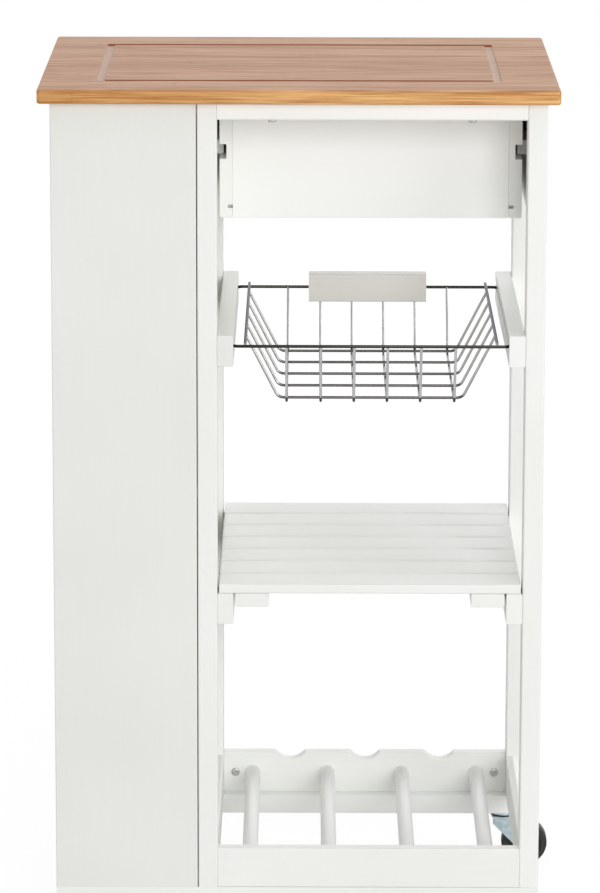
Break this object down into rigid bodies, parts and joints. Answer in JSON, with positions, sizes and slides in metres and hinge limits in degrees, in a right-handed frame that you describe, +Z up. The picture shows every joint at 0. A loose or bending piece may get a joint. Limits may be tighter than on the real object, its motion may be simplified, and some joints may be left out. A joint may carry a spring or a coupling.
{
  "type": "kitchen cart",
  "caption": "Kitchen cart with a bamboo worktop, a closed cabinet beside an open frame with drawer, wire basket, slatted shelf and bottle rack, on swivel castors.",
  "frame": {"origin": "on the floor, under the middle of the whole cart's outline with its knobs and castors", "axes": "+Z up; +X along the worktop, away from the cabinet; +Y towards the side with the drawer front, the door and the basket handle"},
  "size_m": [0.5346, 0.3896, 0.915],
  "materials": {
    "bamboo": "oiled satin",
    "white_paint": "satin paint",
    "handle_paint": "satin paint",
    "chrome_wire": "bright plated",
    "zinc_plate": "zinc plated",
    "black_wheel": "satin",
    "nickel": "nickel plated",
    "catch_plastic": "matte"
  },
  "bodies": {
    "frame": {"base_rail_far": "white_paint", "base_rail_near": "white_paint", "basket_rail_left": "white_paint", "basket_rail_right": "white_paint", "bottle_board_far": "white_paint", "bottle_board_near": "white_paint", "bottle_rods": "white_paint", "cabinet_back": "white_paint", "cabinet_floor": "white_paint", "cabinet_head": "white_paint", "cabinet_inner_wall": "white_paint", "cabinet_shelf_1": "white_paint", "cabinet_shelf_2": "white_paint", "cabinet_shelf_3": "white_paint", "cabinet_side": "white_paint", "castor_stems": "zinc_plate", "catch_magnet": "catch_plastic", "drawer_runners": "white_paint", "frame_screws": "nickel", "hinge_leaves_fixed": "nickel", "hinge_pins": "nickel", "post_far_left": "white_paint", "post_far_right": "white_paint", "post_near_left": "white_paint", "post_near_right": "white_paint", "rack_sides": "white_paint", "shelf_cleats": "white_paint", "shelf_pins": "nickel", "shelf_rails": "white_paint", "shelf_slats": "white_paint", "side_apron": "white_paint", "top_rail_far": "white_paint", "top_rail_near": "white_paint", "worktop": "bamboo"},
    "drawer": {"drawer_side_left": "white_paint", "drawer_side_right": "white_paint", "drawer_back": "white_paint", "drawer_floor": "white_paint", "drawer_front": "white_paint", "drawer_knob": "white_paint"},
    "basket": {"basket_rim": "chrome_wire", "basket_net": "chrome_wire", "basket_handle": "handle_paint"},
    "door": {"cabinet_door": "white_paint", "door_knob": "white_paint", "hinge_leaves_door": "nickel", "catch_plate": "nickel"},
    "castor_near_left": {"castor_fork_near_left": "zinc_plate", "castor_axle_near_left": "zinc_plate"},
    "wheel_near_left": {"castor_wheel_near_left": "black_wheel"},
    "castor_near_right": {"castor_fork_near_right": "zinc_plate", "castor_axle_near_right": "zinc_plate"},
    "wheel_near_right": {"castor_wheel_near_right": "black_wheel"},
    "castor_far_left": {"castor_fork_far_left": "zinc_plate", "castor_axle_far_left": "zinc_plate"},
    "wheel_far_left": {"castor_wheel_far_left": "black_wheel"},
    "castor_far_right": {"castor_fork_far_right": "zinc_plate", "castor_axle_far_right": "zinc_plate"},
    "wheel_far_right": {"castor_wheel_far_right": "black_wheel"}
  },
  "joints": [
    {"name": "drawer_slide", "type": "slide", "parent": "frame", "child": "drawer", "axis": [0, 1, 0], "range_m": [0, 0.18]},
    {"name": "basket_slide", "type": "slide", "parent": "frame", "child": "basket", "axis": [0, 1, 0], "range_m": [0, 0.22]},
    {"name": "door_swing", "type": "hinge", "parent": "frame", "child": "door", "pos_m": [-0.25845, 0.1565, 0.49], "axis": [0, 0, 1], "range_deg": [0, 170]},
    {"name": "swivel_near_left", "type": "hinge", "parent": "frame", "child": "castor_near_left", "pos_m": [-0.23375, -0.1633, 0.056], "axis": [0, 0, 1], "continuous": true},
    {"name": "roll_near_left", "type": "hinge", "parent": "castor_near_left", "child": "wheel_near_left", "pos_m": [-0.21075, -0.1633, 0.025], "axis": [0, 1, 0], "continuous": true},
    {"name": "swivel_near_right", "type": "hinge", "parent": "frame", "child": "castor_near_right", "pos_m": [0.21925, -0.1633, 0.056], "axis": [0, 0, 1], "continuous": true},
    {"name": "roll_near_right", "type": "hinge", "parent": "castor_near_right", "child": "wheel_near_right", "pos_m": [0.24225, -0.1633, 0.025], "axis": [0, 1, 0], "continuous": true},
    {"name": "swivel_far_left", "type": "hinge", "parent": "frame", "child": "castor_far_left", "pos_m": [-0.23375, 0.1387, 0.056], "axis": [0, 0, 1], "continuous": true},
    {"name": "roll_far_left", "type": "hinge", "parent": "castor_far_left", "child": "wheel_far_left", "pos_m": [-0.21075, 0.1387, 0.025], "axis": [0, 1, 0], "continuous": true},
    {"name": "swivel_far_right", "type": "hinge", "parent": "frame", "child": "castor_far_right", "pos_m": [0.21925, 0.1387, 0.056], "axis": [0, 0, 1], "continuous": true},
    {"name": "roll_far_right", "type": "hinge", "parent": "castor_far_right", "child": "wheel_far_right", "pos_m": [0.24225, 0.1387, 0.025], "axis": [0, 1, 0], "continuous": true}
  ]
}
